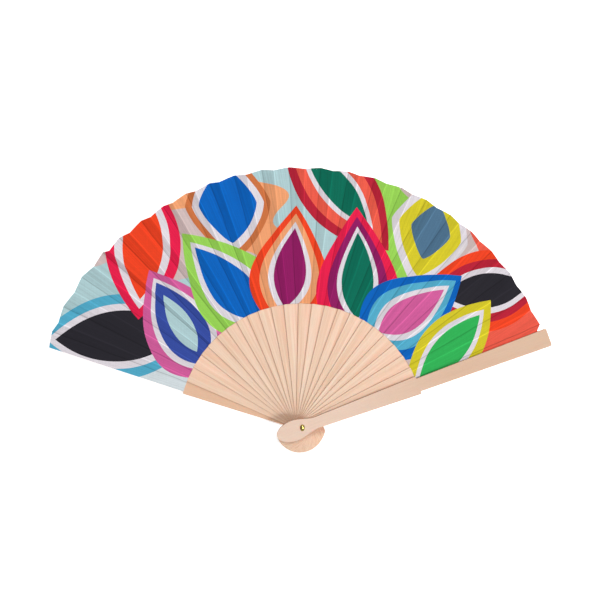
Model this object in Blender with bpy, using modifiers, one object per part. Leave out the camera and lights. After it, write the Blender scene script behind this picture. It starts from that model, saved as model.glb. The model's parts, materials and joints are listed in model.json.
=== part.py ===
"""Folding hand fan, lying open: wooden sticks on a rivet, with a pleated cloth leaf.

The rivet's axis is Z, and the plane of the rear guard's back is Z = 0. The rear guard lies
at the left, the front guard on top at the right, and the inner sticks lie between them, each
a layer higher than the one to its left. Lengths are in metres and angles in radians.
"""

import math

import bmesh
import bpy

# How far each piece reaches from the rivet's axis
guard_reach = 0.209
rib_reach = 0.202
shoulder_reach = 0.0972
head_reach = 0.0209
leaf_reach = 0.2056

# Outline that all the sticks and both guards share, from the head to the shoulder
lobe_half_width = 0.0081
lobe_setback = 0.006
neck_half_width = 0.0045
neck_place = 0.012
shoulder_half_width = 0.0073
shoulder_corner = 0.0006
head_steps = 8
head_first_angle = math.radians(9)
neck_steps = 5

# Ribs, the slender upper part of an inner stick, under the leaf. A negative twist lowers the right edge.
rib_root_half_width = 0.0021
rib_tip_half_width = 0.0014
rib_thickness = 0.0003
rib_root_length = 0.0004
rib_tip_length = 0.0012
rib_root_twist = math.radians(-4)
rib_tip_twist = math.radians(-13)
rib_steps = 6

# Blades, the broad upper part of a guard
blade_root_half_width = 0.00525
blade_tip_half_width = 0.00725
blade_root_length = 0.0004
blade_corner = 0.0014
guard_edge_radius = 0.0004

# Layers along the rivet
stick_thickness = 0.0007
guard_thickness = 0.0024
stick_clearance = 0.0003

# How far the fan is open, and how the sticks share it, from the rear guard to the front one
opening = math.radians(140.8)
gap_shares = (
    5.9, 7.4, 7.0, 4.8, 6.0, 5.8, 5.8, 5.7, 5.6, 6.3, 6.1, 6.9,
    6.3, 6.0, 6.3, 6.1, 6.3, 6.0, 6.2, 6.3, 6.4, 6.6, 4.6,
)
inner_sticks = len(gap_shares) - 1
last = inner_sticks + 1

# Rivet and its cap, which is let into the rear guard's back
rivet_radius = 0.00125
rivet_clearance = 0.0002
rivet_head_half_width = 0.0019
rivet_head_half_length = 0.0026
rivet_head_height = 0.0011
rivet_seat_gap = 0.0001
cap_radius = 0.003
cap_thickness = 0.0009
cap_clearance = 0.0003
cap_floor = 0.0004
round_segments = 20
dome_steps = 4

# Leaf, folded once up and once down for each stick
leaf_thickness = 0.0002
leaf_seat_gap = 0.00015
leaf_inner_gap = 0.0006
fold_left = math.radians(2.2)
fold_right = math.radians(1.4)
fold_slit = 0.0003
leaf_scallop = 0.0021
leaf_flare = 0.0045
flare_first_stick = 1
flare_sticks = 5
leaf_end_cut = 0.002
leaf_overhang = 0.0004
leaf_inset = 0.0008
leaf_steps = 6

# The relief of the pleats fades beside the guards, which hold the leaf flat
relief_shares_left = (0.25, 0.5, 0.75)
relief_shares_right = (0.2, 0.6)

cut_overrun = 0.001


def ease(share):
    """A smooth rise from 0 to 1."""
    share = min(max(share, 0), 1)
    return share * share * (3 - 2 * share)


def mix(first, second, share):
    return first + (second - first) * share


# Places of the pieces: 0 is the rear guard, then the inner sticks, and last is the front guard


def direction(piece):
    """The way a piece points, from +X towards +Y. The middle of the fan points to +Y."""
    step = opening / sum(gap_shares)
    return (math.pi + opening) / 2 - step * sum(gap_shares[:piece])


def back(piece):
    """Height of a piece's back face."""
    if piece == 0:
        return 0
    pitch = stick_thickness + stick_clearance
    return guard_thickness + stick_clearance + (piece - 1) * pitch


def relief_share(piece):
    if piece in (0, last):
        return 0
    if piece <= len(relief_shares_left):
        return relief_shares_left[piece - 1]
    if piece > inner_sticks - len(relief_shares_right):
        return relief_shares_right[inner_sticks - piece]
    return 1


def twist(piece, reach):
    """Turn of a rib about its own length, so that it lies in the plane of its facet of the leaf."""
    share = (reach - shoulder_reach) / (rib_reach - shoulder_reach)
    return relief_share(piece) * mix(rib_root_twist, rib_tip_twist, share)


def blade_half_width(reach):
    share = (reach - shoulder_reach) / (guard_reach - shoulder_reach)
    return mix(blade_root_half_width, blade_tip_half_width, share)


# Meshes


def collection(name):
    made = bpy.data.collections.new(name)
    bpy.context.scene.collection.children.link(made)
    return made


def material(name, color, roughness, metallic=0):
    made = bpy.data.materials.new(name)
    made.use_nodes = True
    shader = made.node_tree.nodes["Principled BSDF"]
    shader.inputs["Base Color"].default_value = (*color, 1)
    shader.inputs["Roughness"].default_value = roughness
    shader.inputs["Metallic"].default_value = metallic
    made.diffuse_color = (*color, 1)
    return made


def add_object(name, mesh, finish, home):
    made = bpy.data.objects.new(name, mesh)
    mesh.materials.append(finish)
    home.objects.link(made)
    return made


def lower_outline():
    """Places and half widths along a stick, from the end of its head to just before its shoulder."""
    places = []
    reach = head_reach - lobe_setback
    for i in range(head_steps):
        angle = mix(head_first_angle, math.pi / 2, i / (head_steps - 1))
        x = -lobe_setback - reach * math.cos(angle)
        places.append((x, lobe_half_width * math.sin(angle)))
    for i in range(1, neck_steps + 1):
        share = i / neck_steps
        x = mix(-lobe_setback, neck_place, share)
        places.append((x, mix(lobe_half_width, neck_half_width, ease(share))))
    places.append((shoulder_reach - shoulder_corner, shoulder_half_width))
    places.append((shoulder_reach, shoulder_half_width - shoulder_corner))
    return places


def loft(sections):
    """A closed bar through rectangles across X: (x, half width, bottom, thickness, twist)."""
    bm = bmesh.new()
    rings = []
    for x, half, bottom, thickness, turn in sections:
        middle = bottom + thickness / 2
        ring = []
        for side, face in ((-1, -1), (1, -1), (1, 1), (-1, 1)):
            y = side * half
            z = face * thickness / 2
            across = y * math.cos(turn) + z * math.sin(turn)
            up = z * math.cos(turn) - y * math.sin(turn)
            ring.append(bm.verts.new((x, across, middle + up)))
        rings.append(ring)
    for near, far in zip(rings, rings[1:]):
        for i in range(len(near)):
            j = (i + 1) % len(near)
            bm.faces.new((near[i], far[i], far[j], near[j]))
    bm.faces.new(rings[0])
    bm.faces.new(reversed(rings[-1]))
    bmesh.ops.recalc_face_normals(bm, faces=bm.faces)
    mesh = bpy.data.meshes.new("bar")
    bm.to_mesh(mesh)
    bm.free()
    return mesh


def stick_mesh(piece):
    """The gorge at full thickness, then a thin rib, which twists into the leaf's facet."""
    sections = [(x, half, 0, stick_thickness, 0) for x, half in lower_outline()]
    root = shoulder_reach + rib_root_length
    end = rib_reach - rib_tip_length
    for i in range(rib_steps + 1):
        share = i / rib_steps
        x = mix(root, end, share)
        half = mix(rib_root_half_width, rib_tip_half_width, share)
        sections.append((x, half, 0, rib_thickness, twist(piece, x)))
    half = rib_tip_half_width / 2
    sections.append((rib_reach, half, 0, rib_thickness, twist(piece, rib_reach)))
    return loft(sections)


def guard_mesh():
    """A guard keeps its thickness all the way, and its blade widens towards a blunt tip."""
    places = lower_outline()
    places.append((shoulder_reach + blade_root_length, blade_root_half_width))
    for x, inward in ((guard_reach - blade_corner, 0), (guard_reach - blade_corner / 3, blade_corner / 3)):
        places.append((x, blade_half_width(x) - inward))
    places.append((guard_reach, blade_tip_half_width - blade_corner))
    return loft([(x, half, 0, guard_thickness, 0) for x, half in places])


def turned(name, top, ovals, bottom, finish, home):
    """A solid about Z, from a point at its top, through ovals (half width, half length, height)."""
    bm = bmesh.new()
    peak = bm.verts.new((0, 0, top))
    foot = bm.verts.new((0, 0, bottom))
    rings = []
    for half_width, half_length, z in ovals:
        ring = []
        for i in range(round_segments):
            angle = math.tau * i / round_segments
            ring.append(bm.verts.new((half_width * math.cos(angle), half_length * math.sin(angle), z)))
        rings.append(ring)
    for i in range(round_segments):
        j = (i + 1) % round_segments
        bm.faces.new((peak, rings[0][i], rings[0][j]))
        bm.faces.new((foot, rings[-1][j], rings[-1][i]))
        for upper, lower in zip(rings, rings[1:]):
            bm.faces.new((upper[i], lower[i], lower[j], upper[j]))
    bmesh.ops.recalc_face_normals(bm, faces=bm.faces)
    mesh = bpy.data.meshes.new(name)
    bm.to_mesh(mesh)
    bm.free()
    return add_object(name, mesh, finish, home)


def cutter(name, radius, bottom, top, home):
    bm = bmesh.new()
    bmesh.ops.create_cone(
        bm, cap_ends=True, segments=round_segments, radius1=radius, radius2=radius, depth=top - bottom
    )
    bmesh.ops.translate(bm, verts=bm.verts, vec=(0, 0, (top + bottom) / 2))
    mesh = bpy.data.meshes.new(name)
    bm.to_mesh(mesh)
    bm.free()
    made = bpy.data.objects.new(name, mesh)
    home.objects.link(made)
    made.hide_render = True
    made.display_type = "WIRE"
    return made


def cut(piece, tool):
    boolean = piece.modifiers.new(tool.name, "BOOLEAN")
    boolean.operation = "DIFFERENCE"
    boolean.object = tool


def round_edges(piece):
    bevel = piece.modifiers.new("rounded edges", "BEVEL")
    bevel.width = guard_edge_radius
    bevel.segments = 2
    bevel.limit_method = "ANGLE"
    bevel.angle_limit = math.radians(50)


# The leaf's folds


def facet_height(piece, reach, right):
    """Height of the leaf's lower side over a piece, at a distance to the right of its centre line."""
    if piece == 0:
        return guard_thickness + leaf_seat_gap
    if piece == last:
        return back(last) - leaf_seat_gap - leaf_thickness
    turn = twist(piece, reach)
    middle = back(piece) + rib_thickness / 2
    return middle + (rib_thickness / 2 + leaf_seat_gap) / math.cos(turn) + right * math.tan(turn)


def leaf_edge(piece):
    """Reach of the leaf's outer edge at a piece: the first few pleats are longer, the end is shorter."""
    if piece == last:
        return leaf_reach - leaf_end_cut
    past = (piece - flare_first_stick) / flare_sticks
    return leaf_reach + leaf_flare * (1 - ease(past))


def facet_left(piece, reach):
    """Angle of a facet's left edge from its piece's centre line. The first one hides its guard."""
    if piece == 0:
        return math.asin((blade_half_width(reach) + leaf_overhang) / reach)
    return fold_left


def facet_right(piece, reach):
    """Angle of a facet's right edge. The last one ends just inside its guard."""
    if piece == last:
        return -math.asin((blade_half_width(reach) - leaf_inset) / reach)
    return -fold_right


def leaf_point(piece, angle, reach, height):
    """A point in the frame of a piece, whose centre line is +X and whose back is Z = 0."""
    return (reach * math.cos(angle), reach * math.sin(angle), height - back(piece))


def pleat_point(piece, across, along):
    """A point of a pleat: its first half lies on its piece, its second crosses to the next."""
    crosses = across > 1 / 2
    share = 2 * across - 1 if crosses else 2 * across
    here = leaf_edge(piece)
    inner = shoulder_reach + leaf_inner_gap
    if not crosses:
        outer = here + leaf_scallop * (share - 1 / 2)
        reach = mix(inner, outer, along)
        left = facet_left(piece, reach)
        if piece > 0:
            left -= fold_slit / 2 / reach
        angle = mix(left, facet_right(piece, reach), share)
        height = facet_height(piece, reach, -reach * math.sin(angle))
        return leaf_point(piece, angle, reach, height)
    there = leaf_edge(piece + 1)
    outer = mix(here + leaf_scallop / 2, there - leaf_scallop / 2, share)
    reach = mix(inner, outer, along)
    turned_away = direction(piece) - direction(piece + 1)
    crease = -fold_right
    next_crease = fold_left - turned_away
    start = facet_height(piece, reach, reach * math.sin(fold_right))
    end = facet_height(piece + 1, reach, -reach * math.sin(fold_left))
    angle = mix(crease, next_crease + fold_slit / 2 / reach, share)
    return leaf_point(piece, angle, reach, mix(start, end, share))


def end_point(across, along):
    """A point of the leaf's last facet, which is glued under the front guard's blade."""
    inner = shoulder_reach + leaf_inner_gap
    outer = leaf_edge(last) + leaf_scallop * (across - 1 / 2)
    reach = mix(inner, outer, along)
    left = fold_left - fold_slit / 2 / reach
    angle = mix(left, facet_right(last, reach), across)
    return leaf_point(last, angle, reach, facet_height(last, reach, 0))


def cloth(name, point, columns, finish, home):
    """A thin sheet over a unit grid, whose points are placed by a function of the two shares."""
    bm = bmesh.new()
    bmesh.ops.create_grid(bm, x_segments=columns, y_segments=leaf_steps, size=1 / 2)
    for vert in bm.verts:
        vert.co = point(vert.co.x + 1 / 2, vert.co.y + 1 / 2)
    mesh = bpy.data.meshes.new(name)
    bm.to_mesh(mesh)
    bm.free()
    made = add_object(name, mesh, finish, home)
    thick = made.modifiers.new("cloth thickness", "SOLIDIFY")
    thick.thickness = leaf_thickness
    thick.offset = 1
    return made


# Assembly


def place(made, piece):
    made.location.z = back(piece)
    made.rotation_euler.z = direction(piece)


def build():
    for old in list(bpy.data.objects):
        bpy.data.objects.remove(old)
    fan = collection("folding_fan")
    cutters = collection("cutters")

    wood = material("pale wood", (0.80, 0.62, 0.46), 0.55)
    rear_wood = material("rear guard wood", (0.74, 0.52, 0.34), 0.55)
    fabric = material("leaf cloth", (0.80, 0.28, 0.38), 0.85)
    brass = material("brass", (0.78, 0.62, 0.25), 0.25, 1)

    top = back(last) + guard_thickness
    hole = cutter("rivet_hole", rivet_radius + rivet_clearance, -cut_overrun, top + cut_overrun, cutters)
    pocket_depth = cap_thickness + cap_clearance
    pocket = cutter("cap_pocket", cap_radius + cap_clearance, -cut_overrun, pocket_depth, cutters)

    for piece in range(1, last):
        made = add_object(f"stick_{piece:02d}", stick_mesh(piece), wood, fan)
        place(made, piece)
        cut(made, hole)

    rear = add_object("rear_guard", guard_mesh(), rear_wood, fan)
    front = add_object("front_guard", guard_mesh(), wood, fan)
    for made, piece in ((rear, 0), (front, last)):
        place(made, piece)
        round_edges(made)
        cut(made, hole)
    cut(rear, pocket)

    for piece in range(last):
        def point(across, along, piece=piece):
            return pleat_point(piece, across, along)

        place(cloth(f"leaf_pleat_{piece + 1:02d}", point, 2, fabric, fan), piece)
    place(cloth("leaf_end", end_point, 1, fabric, fan), last)

    seat = top + rivet_seat_gap
    foot = cap_floor + rivet_clearance
    ovals = []
    for i in range(1, dome_steps + 1):
        angle = math.pi / 2 * i / dome_steps
        share = math.sin(angle)
        height = seat + rivet_head_height * math.cos(angle)
        ovals.append((rivet_head_half_width * share, rivet_head_half_length * share, height))
    ovals += [(rivet_radius, rivet_radius, seat), (rivet_radius, rivet_radius, foot)]
    turned("rivet", seat + rivet_head_height, ovals, foot, brass, fan)

    socket = rivet_radius + rivet_clearance
    rim = [(socket, cap_floor), (socket, cap_thickness), (cap_radius, cap_thickness), (cap_radius, 0)]
    turned("rivet_cap", cap_floor, [(radius, radius, z) for radius, z in rim], 0, brass, fan)


build()
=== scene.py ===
"""Looks of the open folding fan: camera, light, wood, brass and the pleated printed cloth.

Lengths are in metres and angles in radians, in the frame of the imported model: the rivet's axis
is Z, the rear guard's back is at Z = 0, and the middle of the open fan points to +Y. Piece 0 is
the rear guard, the inner sticks follow, and the last piece is the front guard.
"""

import json
import math

import bmesh
import bpy
import numpy as np
from mathutils import Matrix, Vector

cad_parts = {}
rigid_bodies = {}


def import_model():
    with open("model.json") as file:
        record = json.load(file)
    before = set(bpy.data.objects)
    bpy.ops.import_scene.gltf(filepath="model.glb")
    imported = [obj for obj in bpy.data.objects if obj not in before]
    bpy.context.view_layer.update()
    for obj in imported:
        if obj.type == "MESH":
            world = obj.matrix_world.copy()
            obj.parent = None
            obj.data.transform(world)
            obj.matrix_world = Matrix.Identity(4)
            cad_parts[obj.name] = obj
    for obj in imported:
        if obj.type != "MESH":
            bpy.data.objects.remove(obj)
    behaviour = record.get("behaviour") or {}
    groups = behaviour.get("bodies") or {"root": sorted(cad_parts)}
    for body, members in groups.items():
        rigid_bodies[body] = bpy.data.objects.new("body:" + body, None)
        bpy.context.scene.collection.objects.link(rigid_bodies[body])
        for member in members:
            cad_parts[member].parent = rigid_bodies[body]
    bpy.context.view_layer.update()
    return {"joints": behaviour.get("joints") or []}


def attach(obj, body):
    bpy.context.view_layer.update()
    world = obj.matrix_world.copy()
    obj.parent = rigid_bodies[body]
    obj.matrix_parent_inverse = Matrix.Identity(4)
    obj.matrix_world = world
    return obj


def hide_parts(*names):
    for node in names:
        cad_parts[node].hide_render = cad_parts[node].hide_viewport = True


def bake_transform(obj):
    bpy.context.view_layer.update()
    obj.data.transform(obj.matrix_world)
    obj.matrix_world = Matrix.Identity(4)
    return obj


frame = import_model()

# Pieces, gaps and layers, from the joints
joints = frame["joints"]
bodies = [joints[0]["parent"]] + [joint["child"] for joint in joints]
gaps = [math.radians(joint["range_deg"][1]) for joint in joints]
backs = [0] + [joint["pos_m"][2] for joint in joints]
opening = sum(gaps)
last = len(joints)
inner_sticks = last - 1

# Reaches from the rivet's axis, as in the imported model
guard_reach = 0.209
rib_reach = 0.202
shoulder_reach = 0.0972
head_reach = 0.0209
leaf_reach = 0.2056

# Outline of the sticks and guards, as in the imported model
lobe_half_width = 0.0081
lobe_setback = 0.006
neck_half_width = 0.0045
neck_place = 0.012
shoulder_half_width = 0.0073
shoulder_corner = 0.0006
rib_root_half_width = 0.0021
rib_tip_half_width = 0.0014
rib_thickness = 0.0003
rib_root_length = 0.0004
rib_tip_length = 0.0012
rib_root_twist = math.radians(-4)
rib_tip_twist = math.radians(-13)
blade_root_half_width = 0.00525
blade_tip_half_width = 0.00725
blade_root_length = 0.0004
blade_corner = 0.0014
stick_thickness = 0.0007
guard_thickness = 0.0024

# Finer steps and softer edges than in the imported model
head_steps = 26
head_first_angle = math.radians(4)
neck_steps = 20
corner_steps = 5
rib_steps = 24
stick_edge_radius = 0.0001
guard_edge_radius = 0.0004
edge_segments = 3
edge_angle = math.radians(50)
turned_edge_angle = math.radians(40)

# Rivet and cap
rivet_radius = 0.00125
rivet_clearance = 0.0002
rivet_head_half_width = 0.0019
rivet_head_half_length = 0.0026
rivet_head_height = 0.0011
rivet_seat_gap = 0.0001
cap_radius = 0.003
cap_thickness = 0.0009
cap_clearance = 0.0003
cap_floor = 0.0004
cap_edge_radius = 0.0002
round_segments = 64
dome_steps = 16
cut_overrun = 0.001

# Leaf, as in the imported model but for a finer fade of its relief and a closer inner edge
leaf_thickness = 0.0002
leaf_seat_gap = 0.00015
leaf_inner_gap = 0.0002
fold_left = math.radians(2.2)
fold_right = math.radians(1.4)
leaf_scallop = 0.0021
leaf_flare = 0.0045
flare_first_stick = 1
flare_sticks = 5
leaf_end_cut = 0.002
leaf_overhang = 0.0004
leaf_inset = 0.0008
relief_shares_left = (0.25, 0.5, 0.75)
relief_shares_right = (0.16, 0.6, 0.9)

# Softness of the cloth: rounded creases, the ribs' imprint, and ripples between the ribs
crease_half_width = 0.0005
# Width of the painted shade along each valley and the painted highlight along each ridge
painted_crease_light_width = 0.00035
crease_wander = 0.0002
rib_imprint_height = 0.0001
rib_imprint_edge = 0.0005
ripple_height = 0.00015
ripple_free_width = 0.0035
ripple_lengths = (0.061, 0.034, 0.021)
ripple_slant_share = 0.7
wave_step = 2.4

# Grid of each piece of the leaf: rows outwards, and columns in each zone from left to right
leaf_rows = 44
zone_columns = (9, 4, 8, 4, 9)


def mix(first, second, share):
    return first + (second - first) * share


def ease(share):
    """A smooth rise from 0 to 1."""
    share = np.clip(share, 0, 1)
    return share * share * (3 - 2 * share)


def direction(piece):
    """The way a piece points, from +X towards +Y."""
    return (math.pi + opening) / 2 - sum(gaps[:piece])


def relief_share(piece):
    """How much of the pleats' relief is left at a piece: it fades beside the guards."""
    if piece in (0, last):
        return 0
    if piece <= len(relief_shares_left):
        return relief_shares_left[piece - 1]
    if piece > inner_sticks - len(relief_shares_right):
        return relief_shares_right[inner_sticks - piece]
    return 1


def twist(piece, reach):
    """Turn of a rib about its own length, so that it lies in the plane of its facet of the leaf."""
    share = (reach - shoulder_reach) / (rib_reach - shoulder_reach)
    return relief_share(piece) * mix(rib_root_twist, rib_tip_twist, share)


def blade_half_width(reach):
    share = (reach - shoulder_reach) / (guard_reach - shoulder_reach)
    return mix(blade_root_half_width, blade_tip_half_width, share)


# Node trees


class Graph:
    """A material's nodes, with short ways to add the kinds that this script uses."""

    def __init__(self, name):
        self.material = bpy.data.materials.new(name)
        self.material.use_nodes = True
        self.tree = self.material.node_tree
        self.shader = self.tree.nodes["Principled BSDF"]

    def put(self, socket, value):
        if isinstance(value, bpy.types.NodeSocket):
            self.tree.links.new(value, socket)
        else:
            socket.default_value = value

    def add(self, kind, values=(), **settings):
        node = self.tree.nodes.new(kind)
        for name, value in settings.items():
            setattr(node, name, value)
        for place, value in dict(values).items():
            self.put(node.inputs[place], value)
        return node

    def stored(self, name, output="Fac"):
        """A value that the mesh stores at its points."""
        return self.add("ShaderNodeAttribute", attribute_name=name).outputs[output]

    def math(self, operation, *values):
        return self.add("ShaderNodeMath", enumerate(values), operation=operation).outputs[0]

    def vector(self, operation, *values):
        return self.add("ShaderNodeVectorMath", enumerate(values), operation=operation).outputs[0]

    def measure(self, operation, *values):
        """A vector operation that gives one number, such as a length."""
        node = self.add("ShaderNodeVectorMath", enumerate(values), operation=operation)
        return node.outputs["Value"]

    def split(self, vector):
        return self.add("ShaderNodeSeparateXYZ", {0: vector}).outputs

    def noise(self, place, size, detail=2, roughness=0.5):
        """Noise whose grains have a size along each axis."""
        stretched = self.vector("MULTIPLY", place, [1 / length for length in size])
        values = {"Vector": stretched, "Scale": 1, "Detail": detail, "Roughness": roughness}
        return self.add("ShaderNodeTexNoise", values).outputs[0]

    def waves(self, place, pitch):
        """A sine wave of a pitch along a place."""
        return self.math("SINE", self.math("MULTIPLY", place, math.tau / pitch))

    def spread(self, value, low, high, new_low=0, new_high=1):
        """The range low to high, drawn out over the range new_low to new_high."""
        values = {0: value, 1: low, 2: high, 3: new_low, 4: new_high}
        return self.add("ShaderNodeMapRange", values).outputs[0]

    def blend(self, share, first, second, kind="MIX"):
        node = self.add("ShaderNodeMix", data_type="RGBA", blend_type=kind)
        for place, value in zip((0, 6, 7), (share, first, second)):
            self.put(node.inputs[place], value)
        return node.outputs[2]

    def shaded(self, color, share):
        """A colour times a grey."""
        grey = self.add("ShaderNodeCombineColor", {channel: share for channel in range(3)})
        return self.blend(1, color, grey.outputs[0], "MULTIPLY")

    def bands(self, value, stops):
        """Flat bands of colour, each from its own value on: the colour and its cover."""
        node = self.add("ShaderNodeValToRGB", {0: value})
        stair = node.color_ramp
        stair.interpolation = "CONSTANT"
        while len(stair.elements) < len(stops):
            stair.elements.new(1)
        for element, (place, color) in zip(stair.elements, stops):
            element.position = place
            element.color = color
        return node.outputs

    def bump(self, height, distance, normal=None):
        values = {"Height": height, "Distance": distance, "Strength": 1}
        if normal is not None:
            values["Normal"] = normal
        return self.add("ShaderNodeBump", values).outputs[0]

    def finish(self, **inputs):
        for name, value in inputs.items():
            self.put(self.shader.inputs[name.replace("_", " ")], value)
        return self.material


def shade(red, green, blue, alpha=1):
    """A linear colour from the 0 to 255 values of a screen."""
    parts = [part / 255 for part in (red, green, blue)]
    linear = [part / 12.92 if part < 0.04 else ((part + 0.055) / 1.055) ** 2.4 for part in parts]
    return (*linear, alpha)


# Wood: the sticks lie between pale and deep, the front guard goes from blush to outer, and the
# cut edges are browner, partly their own colour and partly painted shade
wood_pale = shade(249, 220, 197)
wood_deep = shade(231, 189, 157)
wood_blush = shade(231, 203, 184)
wood_outer = shade(214, 178, 150)
wood_cut_and_painted_shade = shade(160, 102, 66)
blush_reach = 0.03
outer_reach = 0.125
front_share = 0.85
rear_tone = 0.85
tone_spread = 0.1
tone_step = 2.7

# Brown rims along the gorge, faint at the head and clear further out: partly browner cut edges,
# partly painted shade of the steps between the sticks
rim_cut_and_painted_shade_start = 0.93
rim_cut_and_painted_shade_reaches = (0.02, 0.07)
rim_cut_and_painted_shade_shares = (0.15, 0.6)

# How far light goes into the wood, and its shares of red, green and blue
wood_glow_shares = (1, 0.5, 0.3)
wood_glow_share = 0.3
wood_glow_depth = 0.0012

# Grain: sizes along, across and through a stick, and the place of each piece in the board
fibre_size = (0.020, 0.00022, 0.00022)
streak_size = (0.070, 0.0019, 0.0019)
fleck_size = (0.0016, 0.00016, 0.00016)
board_step = np.array((0, 0.031, 0.017))
fleck_relief_share = 0.6
wood_relief = 0.00003

# Layers of finer noise, and how much each one counts beside the coarser one
fibre_layers = (3, 0.6)
streak_layers = (3, 0.55)
fleck_layers = (1,)

# Shares of each noise where its effect starts and ends, then the effect there
streak_tone_shares = (0.3, 0.7, -0.35, 0.35)
fibre_shade_shares = (0.25, 0.75, 0.93, 1.05)
fleck_shade_shares = (0.3, 0.42, 0.93, 1)
wood_roughness_shares = (0.2, 0.8, 0.5, 0.68)
# Uprightness at which the side faces turn to the cut colour, their own brown and painted shade
cut_face_and_painted_shade_shares = (0.97, 0.6)


def wood_color(graph, place, streak):
    """Streaked wood, the front guard's tones, and gorge rims of cut-edge brown and painted shade."""
    streaks = graph.math("ADD", graph.spread(streak, *streak_tone_shares), graph.stored("tone"))
    color = graph.blend(graph.math("ADD", streaks, 1 / 2), wood_pale, wood_deep)
    reach = graph.split(place)[0]
    front = graph.blend(graph.spread(reach, blush_reach, outer_reach), wood_blush, wood_outer)
    color = graph.blend(graph.stored("front"), color, front)
    # Painted shade, partly the browner cut edge: a brown rim along each stick's edge in the gorge
    rim = graph.spread(graph.math("ABSOLUTE", graph.stored("across")), rim_cut_and_painted_shade_start, 1)
    rim = graph.math("MULTIPLY", rim, graph.spread(reach, *rim_cut_and_painted_shade_reaches, *rim_cut_and_painted_shade_shares))
    return graph.blend(rim, color, wood_cut_and_painted_shade)


def wood_material():
    """Pale close-grained wood with fibres along each stick, cut edges brown and painted shade."""
    graph = Graph("pale_wood")
    place = graph.stored("grain", "Vector")
    fibre = graph.noise(place, fibre_size, *fibre_layers)
    streak = graph.noise(place, streak_size, *streak_layers)
    fleck = graph.noise(place, fleck_size, *fleck_layers)
    fibres = graph.spread(fibre, *fibre_shade_shares)
    flecks = graph.spread(fleck, *fleck_shade_shares)
    color = graph.shaded(wood_color(graph, place, streak), graph.math("MULTIPLY", fibres, flecks))
    normal = graph.add("ShaderNodeNewGeometry").outputs["Normal"]
    upright = graph.math("ABSOLUTE", graph.split(normal)[2])
    # Side faces turn to the cut colour: partly their own brown, partly painted shade
    color = graph.blend(graph.spread(upright, *cut_face_and_painted_shade_shares), color, wood_cut_and_painted_shade)
    relief = graph.math("ADD", fibre, graph.math("MULTIPLY", fleck, fleck_relief_share))
    return graph.finish(
        Base_Color=color,
        Roughness=graph.spread(fibre, *wood_roughness_shares),
        Normal=graph.bump(relief, wood_relief),
        Subsurface_Weight=wood_glow_share,
        Subsurface_Radius=wood_glow_shares,
        Subsurface_Scale=wood_glow_depth,
    )


# Brass: its colours where it is bright and dull, its wear and its turning marks
brass_bright = shade(222, 196, 112)
brass_dull = shade(160, 126, 56)
wear_size = (0.001111, 0.001111, 0.001111)
wear_layers = (4, 0.6)
wear_color_shares = (0.4, 0.7)
brass_roughness_shares = (0.3, 0.75, 0.08, 0.24)
turning_pitch = 0.0001496
turning_share = 0.2
brass_relief = 0.000004


def brass_material():
    """Polished brass with fine turning marks and a little tarnish."""
    graph = Graph("polished_brass")
    place = graph.add("ShaderNodeTexCoord").outputs["Object"]
    worn = graph.noise(place, wear_size, *wear_layers)
    radius = graph.measure("LENGTH", graph.vector("MULTIPLY", place, (1, 1, 0)))
    marks = graph.math("MULTIPLY", graph.waves(radius, turning_pitch), turning_share)
    return graph.finish(
        Base_Color=graph.blend(graph.spread(worn, *wear_color_shares), brass_bright, brass_dull),
        Metallic=1,
        Roughness=graph.spread(worn, *brass_roughness_shares),
        Normal=graph.bump(graph.math("ADD", marks, worn), brass_relief),
    )


# Meshes of wood and brass


def lower_outline():
    """Places and half widths along a stick, from the end of its head to its shoulder."""
    places = []
    reach = head_reach - lobe_setback
    for i in range(head_steps):
        angle = mix(head_first_angle, math.pi / 2, i / (head_steps - 1))
        places.append((-lobe_setback - reach * math.cos(angle), lobe_half_width * math.sin(angle)))
    for i in range(1, neck_steps + 1):
        share = i / neck_steps
        half = mix(lobe_half_width, neck_half_width, ease(share))
        places.append((mix(-lobe_setback, neck_place, share), half))
    for i in range(corner_steps + 1):
        angle = math.pi / 2 * i / corner_steps
        x = shoulder_reach - shoulder_corner * (1 - math.sin(angle))
        places.append((x, shoulder_half_width - shoulder_corner * (1 - math.cos(angle))))
    return places


def loft(sections):
    """A closed bar through rectangles across X: (x, half width, bottom, thickness, twist)."""
    bm = bmesh.new()
    rings = []
    for x, half, bottom, thickness, turn in sections:
        ring = []
        for side, face in ((-1, -1), (1, -1), (1, 1), (-1, 1)):
            y = side * half
            z = face * thickness / 2
            across = y * math.cos(turn) + z * math.sin(turn)
            up = z * math.cos(turn) - y * math.sin(turn)
            ring.append(bm.verts.new((x, across, bottom + thickness / 2 + up)))
        rings.append(ring)
    for near, far in zip(rings, rings[1:]):
        for i in range(len(near)):
            j = (i + 1) % len(near)
            bm.faces.new((near[i], far[i], far[j], near[j]))
    bm.faces.new(rings[0])
    bm.faces.new(reversed(rings[-1]))
    bmesh.ops.recalc_face_normals(bm, faces=bm.faces)
    mesh = bpy.data.meshes.new("bar")
    bm.to_mesh(mesh)
    bm.free()
    return mesh


def stick_mesh(piece):
    """The gorge at full thickness, then a thin rib, which twists into the leaf's facet."""
    sections = [(x, half, 0, stick_thickness, 0) for x, half in lower_outline()]
    root = shoulder_reach + rib_root_length
    end = rib_reach - rib_tip_length
    for i in range(rib_steps + 1):
        share = i / rib_steps
        x = mix(root, end, share)
        half = mix(rib_root_half_width, rib_tip_half_width, share)
        sections.append((x, half, 0, rib_thickness, twist(piece, x)))
    sections.append((rib_reach, rib_tip_half_width / 2, 0, rib_thickness, twist(piece, rib_reach)))
    return loft(sections)


def guard_mesh():
    """A guard keeps its thickness all the way, and its blade widens towards a blunt tip."""
    places = lower_outline()
    places.append((shoulder_reach + blade_root_length, blade_root_half_width))
    for i in range(corner_steps + 1):
        angle = math.pi / 2 * i / corner_steps
        x = guard_reach - blade_corner * (1 - math.sin(angle))
        places.append((x, blade_half_width(x) - blade_corner * (1 - math.cos(angle))))
    return loft([(x, half, 0, guard_thickness, 0) for x, half in places])


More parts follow.
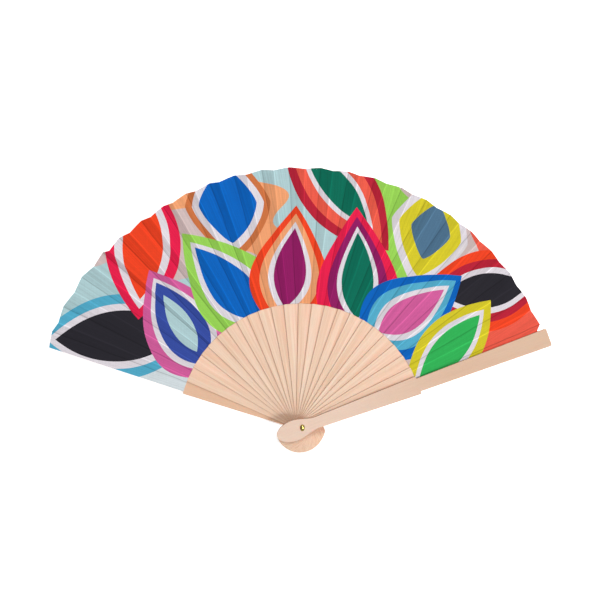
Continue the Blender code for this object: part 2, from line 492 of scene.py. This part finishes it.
def cylinder(radius, bottom, top):
    bm = bmesh.new()
    bmesh.ops.create_cone(
        bm, cap_ends=True, segments=round_segments, radius1=radius, radius2=radius, depth=top - bottom
    )
    bmesh.ops.translate(bm, verts=bm.verts, vec=(0, 0, (top + bottom) / 2))
    mesh = bpy.data.meshes.new("cylinder")
    bm.to_mesh(mesh)
    bm.free()
    return mesh


def add_object(name, mesh):
    made = bpy.data.objects.new(name, mesh)
    bpy.context.scene.collection.objects.link(made)
    return made


def applied(made):
    """The mesh of an object with its modifiers applied."""
    graph = bpy.context.evaluated_depsgraph_get()
    mesh = bpy.data.meshes.new_from_object(made.evaluated_get(graph))
    bpy.data.objects.remove(made)
    return mesh


def carved(mesh, edge_radius, holes):
    """A bar with its holes cut, then with its edges rounded."""
    made = add_object("carving", mesh)
    cutters = [add_object("cutter", cylinder(*hole)) for hole in holes]
    for cutter in cutters:
        boolean = made.modifiers.new("hole", "BOOLEAN")
        boolean.operation = "DIFFERENCE"
        boolean.object = cutter
    bevel = made.modifiers.new("rounded edges", "BEVEL")
    bevel.width = edge_radius
    bevel.segments = edge_segments
    bevel.limit_method = "ANGLE"
    bevel.angle_limit = edge_angle
    bevel.harden_normals = True
    mesh.shade_smooth()
    result = applied(made)
    for cutter in cutters:
        bpy.data.objects.remove(cutter)
    return result


def write_grain(mesh, piece, tone, front):
    """Stores at each point its place in the board, and what its colour depends on.

    Tone makes a stick deeper or paler, front turns it to the front guard's colours, and across
    goes from -1 to 1 over the width of the head and the gorge.
    """
    count = len(mesh.vertices)
    places = np.zeros(count * 3, np.float32)
    mesh.vertices.foreach_get("co", places)
    places = places.reshape(-1, 3)
    outline = np.array(lower_outline())
    across = places[:, 1] / np.interp(places[:, 0], outline[:, 0], outline[:, 1])
    across = np.where(places[:, 0] > shoulder_reach, 0, across)
    grain = mesh.attributes.new("grain", "FLOAT_VECTOR", "POINT")
    shifted = places + piece * board_step
    grain.data.foreach_set("vector", shifted.astype(np.float32).ravel())
    stored = {"tone": np.full(count, tone), "front": np.full(count, front), "across": across}
    for name, value in stored.items():
        values = mesh.attributes.new(name, "FLOAT", "POINT")
        values.data.foreach_set("value", value.astype(np.float32))


def add_wood(piece, finish):
    """A guard or a stick, with its hole for the rivet, turned to its place in the fan."""
    body = bodies[piece]
    hole = (rivet_radius + rivet_clearance, -cut_overrun, guard_thickness + cut_overrun)
    if piece == 0:
        pocket = (cap_radius + cap_clearance, -cut_overrun, cap_thickness + cap_clearance)
        mesh = carved(guard_mesh(), guard_edge_radius, [hole, pocket])
    elif piece == last:
        mesh = carved(guard_mesh(), guard_edge_radius, [hole])
    else:
        mesh = carved(stick_mesh(piece), stick_edge_radius, [hole])
    tone = rear_tone if piece == 0 else tone_spread * math.sin(piece * tone_step)
    write_grain(mesh, piece, tone, front_share if piece == last else 0)
    turn = Matrix.Rotation(direction(piece), 4, "Z")
    mesh.transform(Matrix.Translation((0, 0, backs[piece])) @ turn)
    mesh.materials.clear()
    mesh.materials.append(finish)
    made = add_object(f"{body}_wood", mesh)
    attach(made, body)
    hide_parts(body)


def turned(name, top, ovals, bottom, finish):
    """A solid about Z, from a point at its top, through ovals (half width, half length, height)."""
    bm = bmesh.new()
    peak = bm.verts.new((0, 0, top))
    foot = bm.verts.new((0, 0, bottom))
    rings = []
    for half_width, half_length, z in ovals:
        ring = []
        for i in range(round_segments):
            angle = math.tau * i / round_segments
            ring.append(bm.verts.new((half_width * math.cos(angle), half_length * math.sin(angle), z)))
        rings.append(ring)
    for i in range(round_segments):
        j = (i + 1) % round_segments
        bm.faces.new((peak, rings[0][i], rings[0][j]))
        bm.faces.new((foot, rings[-1][j], rings[-1][i]))
        for upper, lower in zip(rings, rings[1:]):
            bm.faces.new((upper[i], lower[i], lower[j], upper[j]))
    bmesh.ops.recalc_face_normals(bm, faces=bm.faces)
    mesh = bpy.data.meshes.new(name)
    bm.to_mesh(mesh)
    bm.free()
    mesh.shade_smooth()
    mesh.set_sharp_from_angle(angle=turned_edge_angle)
    mesh.materials.append(finish)
    return add_object(name, mesh)


def add_rivet(finish):
    """A pin with an oval domed head, and a cap at the back."""
    seat = backs[last] + guard_thickness + rivet_seat_gap
    ovals = []
    for i in range(1, dome_steps + 1):
        angle = math.pi / 2 * i / dome_steps
        share = math.sin(angle)
        height = seat + rivet_head_height * math.cos(angle)
        ovals.append((rivet_head_half_width * share, rivet_head_half_length * share, height))
    foot = cap_floor + rivet_clearance
    ovals += [(rivet_radius, rivet_radius, seat), (rivet_radius, rivet_radius, foot)]
    rivet = turned("rivet_brass", seat + rivet_head_height, ovals, foot, finish)
    socket = rivet_radius + rivet_clearance
    inner = cap_radius - cap_edge_radius
    rim = [(socket, cap_floor), (socket, cap_thickness), (cap_radius, cap_thickness)]
    rim += [(cap_radius, cap_edge_radius), (inner, 0)]
    cap = turned("rivet_cap_brass", cap_floor, [(radius, radius, z) for radius, z in rim], 0, finish)
    for made, node in ((rivet, "rivet"), (cap, "rivet_cap")):
        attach(made, bodies[0])
        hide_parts(node)


# Cloth

palette = {
    "white": shade(238, 231, 238),
    "aqua": shade(186, 218, 222),
    "frost": shade(228, 238, 242),
    "sky": shade(88, 182, 214),
    "blue": shade(0, 106, 202),
    "royal": shade(58, 82, 172),
    "slate": shade(84, 122, 152),
    "taupe": shade(220, 198, 196),
    "charcoal": shade(42, 40, 48),
    "pink": shade(224, 100, 166),
    "crimson": shade(246, 30, 80),
    "ruby": shade(196, 34, 58),
    "purple": shade(154, 26, 104),
    "orange": shade(254, 72, 34),
    "coral": shade(250, 98, 78),
    "tan": shade(216, 122, 70),
    "peach": shade(254, 172, 120),
    "yellow": shade(226, 212, 44),
    "lime": shade(162, 224, 92),
    "green": shade(52, 190, 92),
    "emerald": shade(0, 116, 92),
}
clear = (0, 0, 0, 0)

# Ground of the print: slanting rays with wavy borders, left to right
ray_colors = ("frost", "aqua", "taupe", "peach", "aqua", "lime", "taupe", "coral")
ray_reach = 0.105
ray_slant = math.radians(16)
ray_wave = math.radians(4.5)
ray_wave_length = 0.046

# Nested shapes of the print, back to front: kind, degrees to the right of the fan's middle,
# reach, tilt in degrees, half width, half length, then colours with their shares of the shape
motifs = (
    ("leaf", -63, 0.160, -30, 0.034, 0.068,
     (("sky", 1), ("white", 0.76), ("charcoal", 0.6))),
    ("leaf", -40, 0.192, 44, 0.031, 0.062,
     (("crimson", 1), ("white", 0.72), ("orange", 0.52))),
    ("lozenge", -16, 0.186, 14, 0.035, 0.046,
     (("tan", 1), ("white", 0.8), ("blue", 0.6))),
    ("leaf", 12, 0.192, -48, 0.032, 0.064,
     (("ruby", 1), ("coral", 0.76), ("white", 0.5), ("emerald", 0.36))),
    ("lozenge", 38, 0.186, -12, 0.034, 0.044,
     (("white", 1), ("yellow", 0.76), ("slate", 0.4))),
    ("leaf", 59, 0.182, 36, 0.031, 0.060,
     (("orange", 1), ("ruby", 0.76), ("white", 0.56), ("charcoal", 0.42))),
    ("flame", -49, 0.126, 20, 0.031, 0.050,
     (("pink", 1), ("white", 0.72), ("royal", 0.58), ("aqua", 0.28))),
    ("flame", -26, 0.128, -14, 0.032, 0.054,
     (("lime", 1), ("white", 0.66), ("blue", 0.5))),
    ("flame", -2, 0.126, 12, 0.030, 0.050,
     (("orange", 1), ("peach", 0.76), ("white", 0.56), ("purple", 0.42))),
    ("flame", 23, 0.128, -18, 0.032, 0.054,
     (("crimson", 1), ("purple", 0.74), ("white", 0.52), ("emerald", 0.4))),
    ("flame", 47, 0.126, 16, 0.031, 0.050,
     (("blue", 1), ("sky", 0.76), ("white", 0.54), ("pink", 0.4))),
    ("leaf", 66, 0.132, -16, 0.024, 0.050,
     (("yellow", 1), ("white", 0.66), ("green", 0.5))),
)
motif_wobble = 0.0016
motif_wobble_length = 0.05
lozenge_power = 1.3
flame_taper_share = 0.45

# Threads, slubs in them, pale clouds, and streaks that were pressed in when the leaf was pleated,
# with painted shade and highlight along the streaks
thread_pitch = 0.00042
thread_relief = 0.00004
slub_width = 0.0007
slub_length = 0.012
slub_relief_share = 1.5
cloud_size = (0.03, 0.03, 0.03)
streak_angle = math.radians(0.35)
streak_length = 0.15
pressed_layers = (4, 0.7)
streak_relief = 0.00024

# Shares of each pattern where its effect starts and ends, then the effect there
slub_shade_shares = (0.6, 1.4, 0.93, 1.06)
weave_shade_shares = (-1, 1, 0.97, 1.02)
cloud_shade_shares = (0.3, 0.7, 0.97, 1.02)
# Painted shade and highlight of the pressed streaks
pressed_streak_painted_light_shares = (0.34, 0.66, 0.86, 1.07)
# Painted shade of the valleys and painted highlight of the ridges
painted_crease_light_shares = (-1, 1, 0.58, 1.3)
cloth_roughness_shares = (0.6, 1.4, 0.7, 0.85)
cloth_specular_share = 0.15
cloth_sheen_share = 0.02
back_face_shares = (-0.2, -0.4)
back_paleness_share = 0.3


def ray_color(graph, place):
    """The ground of the print."""
    x, y, z = graph.split(place)
    past = graph.math("SUBTRACT", graph.measure("LENGTH", place), ray_reach)
    angle = graph.math("ARCTAN2", x, y)
    slanted = graph.math("MULTIPLY_ADD", past, ray_slant / (leaf_reach - ray_reach), angle)
    bent = graph.math("MULTIPLY_ADD", graph.waves(past, ray_wave_length), ray_wave, slanted)
    across = graph.spread(bent, -opening / 2, opening / 2 + ray_slant)
    stops = [(i / len(ray_colors), palette[name]) for i, name in enumerate(ray_colors)]
    return graph.bands(across, stops)[0]


def motif_field(graph, kind, x, y, half_width, half_length):
    """A number that grows from 0 in the middle of a motif to 1 at its edge."""
    across = graph.math("ABSOLUTE", graph.math("DIVIDE", x, half_width))
    along = graph.math("DIVIDE", y, half_length)
    if kind == "lozenge":
        parts = (across, graph.math("ABSOLUTE", along))
        return graph.math("ADD", *[graph.math("POWER", part, lozenge_power) for part in parts])
    if kind == "flame":
        taper = graph.math("MULTIPLY_ADD", along, flame_taper_share, 1)
        across = graph.math("MULTIPLY", across, taper)
    return graph.math("ADD", across, graph.math("MULTIPLY", along, along))


def with_motif(graph, color, place, kind, degrees, reach, tilt, half_width, half_length, bands):
    """The colour with one motif printed over it, each band reaching inwards to the next one."""
    heading = math.radians(degrees)
    turn = math.radians(degrees + tilt)
    centre = (reach * math.sin(heading), reach * math.cos(heading), 0)
    apart = graph.vector("SUBTRACT", place, centre)
    right = graph.measure("DOT_PRODUCT", apart, (math.cos(turn), -math.sin(turn), 0))
    ahead = graph.measure("DOT_PRODUCT", apart, (math.sin(turn), math.cos(turn), 0))
    field = motif_field(graph, kind, right, ahead, half_width, half_length)
    inner_edges = [share for name, share in bands[1:]] + [0]
    stops = [(edge / 2, palette[name]) for (name, share), edge in zip(bands, inner_edges)]
    stops = stops[::-1] + [(1 / 2, clear)]
    banded = graph.bands(graph.math("MULTIPLY", field, 1 / 2), stops)
    return graph.blend(banded[1], color, banded[0])


def print_color(graph, flat):
    """The printed design over the flat cloth: wavy rays, with nested leaves, flames and lozenges."""
    values = {"Vector": flat, "Scale": 1 / motif_wobble_length, "Detail": 0}
    wobble = graph.add("ShaderNodeTexNoise", values).outputs["Color"]
    shift = graph.vector("SUBTRACT", wobble, [1 / 2] * 3)
    place = graph.vector("ADD", flat, graph.vector("MULTIPLY", shift, [2 * motif_wobble] * 3))
    color = ray_color(graph, place)
    for motif in motifs:
        color = with_motif(graph, color, place, *motif)
    return color


def pressed_streaks(graph, flat):
    """Noise drawn out along lines from the rivet."""
    x, y, z = graph.split(flat)
    polar = {0: graph.math("ARCTAN2", x, y), 1: graph.measure("LENGTH", flat)}
    place = graph.add("ShaderNodeCombineXYZ", polar).outputs[0]
    return graph.noise(place, (streak_angle, streak_length, streak_length), *pressed_layers)


def cloth_material():
    """Matt plain-woven cloth: print, uneven threads, painted crease and streak light, a paler back."""
    graph = Graph("printed_cloth")
    flat = graph.add("ShaderNodeUVMap", uv_map="flat_cloth").outputs[0]
    x, y, z = graph.split(flat)
    weave = graph.math("MULTIPLY", graph.waves(x, thread_pitch), graph.waves(y, thread_pitch))
    slub_x = graph.noise(flat, (slub_width, slub_length, slub_length))
    slub_y = graph.noise(flat, (slub_length, slub_width, slub_length))
    slub = graph.math("ADD", slub_x, slub_y)
    pressed = pressed_streaks(graph, flat)
    shades = (
        graph.spread(slub, *slub_shade_shares),
        graph.spread(weave, *weave_shade_shares),
        graph.spread(graph.noise(flat, cloud_size), *cloud_shade_shares),
        # Painted shade and highlight along the pressed streaks
        graph.spread(pressed, *pressed_streak_painted_light_shares),
        # Painted shade along the valleys and painted highlight along the ridges
        graph.spread(graph.stored("painted_crease_light"), *painted_crease_light_shares),
    )
    fine = shades[0]
    for share in shades[1:]:
        fine = graph.math("MULTIPLY", fine, share)
    color = graph.shaded(print_color(graph, flat), fine)
    normal = graph.add("ShaderNodeNewGeometry").outputs["Normal"]
    behind = graph.spread(graph.split(normal)[2], *back_face_shares)
    color = graph.blend(graph.math("MULTIPLY", behind, back_paleness_share), color, palette["white"])
    relief = graph.math("ADD", weave, graph.math("MULTIPLY", slub, slub_relief_share))
    return graph.finish(
        Base_Color=color,
        Roughness=graph.spread(slub, *cloth_roughness_shares),
        Specular_IOR_Level=cloth_specular_share,
        Sheen_Weight=cloth_sheen_share,
        Normal=graph.bump(relief, thread_relief, graph.bump(pressed, streak_relief)),
    )


def facet_height(piece, reach, right):
    """Height of the leaf's lower side over a piece, at a distance to the right of its centre line."""
    if piece == 0:
        return np.full_like(reach, guard_thickness + leaf_seat_gap)
    if piece == last:
        return np.full_like(reach, backs[last] - leaf_seat_gap - leaf_thickness)
    turn = twist(piece, reach)
    middle = backs[piece] + rib_thickness / 2
    return middle + (rib_thickness / 2 + leaf_seat_gap) / np.cos(turn) + right * np.tan(turn)


def leaf_edge(piece):
    """Reach of the leaf's outer edge at a piece: the first few pleats are longer, the end is shorter."""
    if piece == last:
        return leaf_reach - leaf_end_cut
    past = (piece - flare_first_stick) / flare_sticks
    return leaf_reach + leaf_flare * (1 - ease(past))


def wandering(reach, seed):
    """A slow wave along the leaf, from -1 to 1, that differs from seed to seed."""
    waves = 0
    for i, length in enumerate(ripple_lengths):
        waves = waves + np.sin(math.tau * reach / length + seed * (wave_step + i))
    return waves / len(ripple_lengths)


def soft_corner(past):
    """A ramp that is 0 to the left of a crease and rises to its right, rounded at the crease."""
    half = crease_half_width
    rounded = (past + half) ** 2 / (4 * half)
    return np.where(past < -half, 0, np.where(past > half, past, rounded))


def zone_ends(gap, reach):
    """Angles to the right of the left piece's centre line, at the ends of a pleat's five zones.

    The zones are the left piece's facet, a valley, the free facet, a ridge and the right
    piece's facet, as far as its centre line. Beside the guards the cloth reaches further.
    """
    left, right = gap - 1, gap
    turn = gaps[left]
    start = np.zeros_like(reach)
    if left == 0:
        start = -np.arcsin((blade_half_width(reach) + leaf_overhang) / reach)
    end = np.full_like(reach, turn)
    if right == last:
        end = turn + np.arcsin((blade_half_width(reach) - leaf_inset) / reach)
    soft = crease_half_width / reach
    loose = crease_wander / reach
    valley = fold_right + loose * wandering(reach, 3 * left)
    ridge = turn - fold_left + loose * wandering(reach, 3 * left + 1)
    return start, valley - soft, valley + soft, ridge - soft, ridge + soft, end


def zone_angle(gap, reach, zone, share):
    ends = zone_ends(gap, reach)
    return mix(ends[zone], ends[zone + 1], share)


def pleat_plan(gap):
    """Reaches, and angles to the right of the left piece's centre line, over a pleat's grid."""
    turn = gaps[gap - 1]
    here, there = leaf_edge(gap - 1), leaf_edge(gap)
    half = leaf_scallop / 2
    places = (-fold_left, fold_right, turn - fold_left, turn + fold_right)
    edges = (here - half, here + half, there - half, there + half)
    columns = []
    for zone, steps in enumerate(zone_columns):
        columns += [(zone, i / steps) for i in range(steps)]
    columns.append((len(zone_columns) - 1, 1))
    along = np.linspace(0, 1, leaf_rows)
    angles, reaches = [], []
    for zone, share in columns:
        nominal = zone_angle(gap, np.array(leaf_reach), zone, share)
        outer = np.interp(nominal, places, edges)
        reach = mix(shoulder_reach + leaf_inner_gap, outer, along)
        reaches.append(reach)
        angles.append(zone_angle(gap, reach, zone, share))
    return np.array(reaches).T, np.array(angles).T


def facets(gap, reach, place, valley, ridge):
    """Height of a pleat's lower side: three facets that meet in rounded creases."""
    left, right = gap - 1, gap
    bottom = facet_height(left, reach, valley)
    top = facet_height(right, reach, ridge - gaps[left] * reach)
    left_slope = np.tan(twist(left, reach))
    free_slope = (top - bottom) / (ridge - valley)
    right_slope = np.tan(twist(right, reach))
    height = bottom + left_slope * (place - valley)
    height += (free_slope - left_slope) * soft_corner(place - valley)
    return height + (right_slope - free_slope) * soft_corner(place - ridge)


def softness(gap, reach, place):
    """How far the ribs' imprint and the ripples between the ribs lift the cloth."""
    left, right = gap - 1, gap
    to_next = gaps[left] * reach
    share = (reach - shoulder_reach) / (rib_reach - shoulder_reach)
    rib_half = mix(rib_root_half_width, rib_tip_half_width, share)
    free = np.ones_like(place)
    imprint = np.zeros_like(place)
    for piece, distance in ((left, np.abs(place)), (right, np.abs(place - to_next))):
        if piece in (0, last):
            free *= ease((distance - blade_half_width(reach)) / ripple_free_width)
        else:
            free *= ease((distance - rib_half) / ripple_free_width)
            imprint += 1 - ease((distance - rib_half) / rib_imprint_edge)
    ripple = wandering(reach + place * ripple_slant_share, 5 * left + 2)
    held = mix(relief_share(left), relief_share(right), ease(place / to_next))
    return rib_imprint_height * imprint + ripple_height * free * ripple * held


def pleat(gap):
    """Points of the cloth's middle, reaches, distances along it and painted crease light, over a grid.

    The pleat runs from the centre line of the piece at its left, down to a valley and up a
    facet to a ridge, to the centre line of the piece at its right.
    """
    reach, angle = pleat_plan(gap)
    place = angle * reach
    ends = zone_ends(gap, reach)
    valley = (ends[1] + ends[2]) / 2 * reach
    ridge = (ends[3] + ends[4]) / 2 * reach
    height = facets(gap, reach, place, valley, ridge)
    steps = np.hypot(np.diff(place, axis=1), np.diff(height, axis=1))
    length = np.concatenate([np.zeros((leaf_rows, 1)), np.cumsum(steps, axis=1)], axis=1)
    # Painted highlight along the ridge, and painted shade along the valley
    painted_crease_light = np.exp(-(((place - ridge) / painted_crease_light_width) ** 2))
    painted_crease_light -= np.exp(-(((place - valley) / painted_crease_light_width) ** 2))
    height += softness(gap, reach, place) + leaf_thickness / 2
    heading = direction(gap - 1) - angle
    points = np.stack([reach * np.cos(heading), reach * np.sin(heading), height], axis=-1)
    return points, reach, length, painted_crease_light


def sheet_mesh(name, points, flat, painted_crease_light):
    """A closed sheet, with an upper and a lower side and rims between them."""
    rows, columns = points.shape[:2]
    count = rows * columns
    upper = points + (0, 0, leaf_thickness / 2)
    lower = points - (0, 0, leaf_thickness / 2)
    index = np.arange(count).reshape(rows, columns)
    a, b = index[:-1, :-1], index[:-1, 1:]
    c, d = index[1:, 1:], index[1:, :-1]
    top = np.stack([a, b, c, d], axis=-1).reshape(-1, 4)
    bottom = top[:, ::-1] + count
    loop = np.concatenate([index[0, :-1], index[:-1, -1], index[-1, :0:-1], index[:0:-1, 0]])
    ahead = np.roll(loop, -1)
    rim = np.stack([ahead, loop, loop + count, ahead + count], axis=-1)
    faces = np.concatenate([top, bottom, rim])
    mesh = bpy.data.meshes.new(name)
    mesh.from_pydata(np.concatenate([upper, lower]).reshape(-1, 3), [], faces.tolist())
    both = np.concatenate([flat.reshape(-1, 2)] * 2)
    # Painted shade and highlight along the creases, stored at the points
    marks = mesh.attributes.new("painted_crease_light", "FLOAT", "POINT")
    marks.data.foreach_set("value", np.concatenate([painted_crease_light.ravel()] * 2).astype(np.float32))
    layer = mesh.uv_layers.new(name="flat_cloth")
    layer.uv.foreach_set("vector", both[faces.ravel()].astype(np.float32).ravel())
    mesh.shade_smooth()
    mesh.set_sharp_from_angle(angle=edge_angle)
    return mesh


def add_leaf(finish):
    """The leaf, one piece for each gap between two sticks, lying between them."""
    flat_start = None
    for gap in range(1, last + 1):
        points, reach, length, painted_crease_light = pleat(gap)
        if flat_start is None:
            flat_start = -opening / 2 - blade_half_width(reach[:, 0]) / reach[:, 0]
        flat_angle = flat_start[:, None] + length / reach
        flat_start = flat_angle[:, -1]
        flat = np.stack([reach * np.sin(flat_angle), reach * np.cos(flat_angle)], axis=-1)
        name = f"leaf_fold_{gap:02d}"
        made = add_object(name, sheet_mesh(name, points, flat, painted_crease_light))
        made.data.materials.append(finish)

        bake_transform(made)
        nodes = [f"leaf_pleat_{gap:02d}"] + ["leaf_end"] * (gap == last)
        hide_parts(*nodes)


# Camera, looking down at the fan: its turn is about this vector, by the vector's length in radians
lens = 60
sensor = 36
clip_start = 0.01
camera_place = (-0.0544, 0.0771, 0.8078)
camera_turn = Vector((0.029, -0.067, -0.002))

# Floor
floor_half_width = 3
floor_gap = 0.0002
floor_paleness = 0.9
floor_glow = 0.6

# Studio: its strength at shares of the way round, from opposite its bright side to that side
bright_side = (1, 0, 0.25)
world_strength_shares = ((0.12, 0.02), (0.24, 0.3), (1, 0.54))

# Two equal square lights
key_places = ((0.64, -0.26, 1.65), (0.16, 0.68, 1.68))
key_size = 0.35
key_power = 10.8


def add_camera():
    data = bpy.data.cameras.new("camera")
    data.lens = lens
    data.sensor_width = sensor
    data.clip_start = clip_start
    made = bpy.data.objects.new("camera", data)
    bpy.context.scene.collection.objects.link(made)
    turn = Matrix.Rotation(camera_turn.length, 4, camera_turn.normalized())
    made.matrix_world = Matrix.Translation(camera_place) @ turn
    bpy.context.scene.camera = made


def add_floor():
    """A plain pale ground, bright enough to hide the fan's shadow."""
    bm = bmesh.new()
    bmesh.ops.create_grid(bm, x_segments=1, y_segments=1, size=floor_half_width)
    bmesh.ops.translate(bm, verts=bm.verts, vec=(0, 0, -floor_gap))
    mesh = bpy.data.meshes.new("floor")
    bm.to_mesh(mesh)
    bm.free()
    finish = Graph("pale_floor").finish(
        Base_Color=(floor_paleness, floor_paleness, floor_paleness, 1),
        Roughness=1,
        Emission_Color=(1, 1, 1, 1),
        Emission_Strength=floor_glow,
    )
    mesh.materials.append(finish)
    add_object("floor", mesh)


def add_light(name, place):
    """A square light that faces the middle of the fan."""
    data = bpy.data.lights.new(name, "AREA")
    data.size = key_size
    data.energy = key_power
    made = bpy.data.objects.new(name, data)
    bpy.context.scene.collection.objects.link(made)
    aim = Vector((0, leaf_reach / 2, 0)) - Vector(place)
    made.location = place
    made.rotation_euler = aim.to_track_quat("-Z", "Y").to_euler()


def add_world():
    """An even studio that is brighter at the right, with a dark wall far at the left."""
    world = bpy.data.worlds.new("studio")
    world.use_nodes = True
    tree = world.node_tree
    place = tree.nodes.new("ShaderNodeTexCoord")
    toward = tree.nodes.new("ShaderNodeVectorMath")
    toward.operation = "DOT_PRODUCT"
    toward.inputs[1].default_value = Vector(bright_side).normalized()
    spread = tree.nodes.new("ShaderNodeMapRange")
    for i, value in enumerate((-1, 1, 0, 1), start=1):
        spread.inputs[i].default_value = value
    stair = tree.nodes.new("ShaderNodeValToRGB")
    while len(stair.color_ramp.elements) < len(world_strength_shares):
        stair.color_ramp.elements.new(1)
    for element, (share, strength) in zip(stair.color_ramp.elements, world_strength_shares):
        element.position = share
        element.color = (strength, strength, strength, 1)
    background = tree.nodes["Background"]
    tree.links.new(place.outputs["Generated"], toward.inputs[0])
    tree.links.new(toward.outputs["Value"], spread.inputs[0])
    tree.links.new(spread.outputs[0], stair.inputs[0])
    tree.links.new(stair.outputs[0], background.inputs["Color"])
    bpy.context.scene.world = world


add_camera()
add_floor()
add_world()
for number, place in enumerate(key_places, start=1):
    add_light(f"key_{number}", place)
bpy.context.scene.view_settings.view_transform = "Standard"

wood = wood_material()
for piece in range(last + 1):
    add_wood(piece, wood)
add_rivet(brass_material())
add_leaf(cloth_material())
